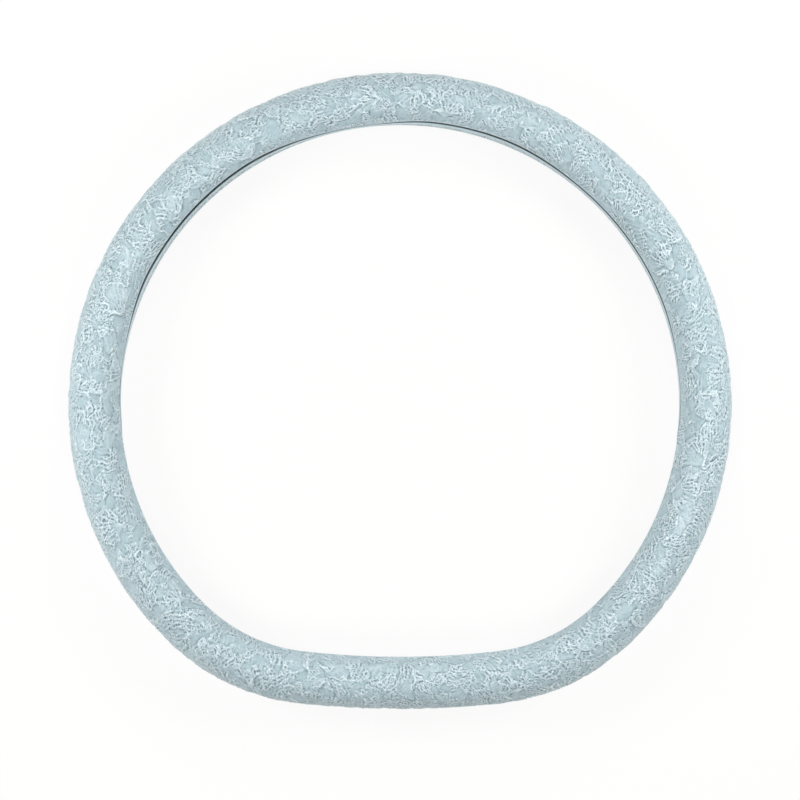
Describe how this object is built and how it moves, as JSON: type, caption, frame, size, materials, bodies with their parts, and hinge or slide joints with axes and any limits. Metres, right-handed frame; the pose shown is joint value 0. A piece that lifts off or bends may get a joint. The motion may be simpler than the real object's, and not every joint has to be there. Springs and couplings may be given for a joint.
{
  "type": "steering wheel cover",
  "caption": "Lace-faced satin steering wheel cover: a padded ring with a flat bottom and a C-shaped section that opens inwards for the rim.",
  "frame": {"origin": "under the middle of the cover's box, on the surface that it lies on", "axes": "+Z out of the driver's side, +Y to twelve o'clock, +X to three o'clock as the driver sees it; the flat run is at -Y"},
  "size_m": [0.3814, 0.3658, 0.0346],
  "materials": {
    "lace_satin": "pale ice-blue satin with a silvery raised floral lace",
    "rubber": "matt dark anti-slip rubber"
  },
  "bodies": {
    "root": {"lace_sleeve": "lace_satin", "rubber_lining": "rubber"}
  },
  "joints": []
}
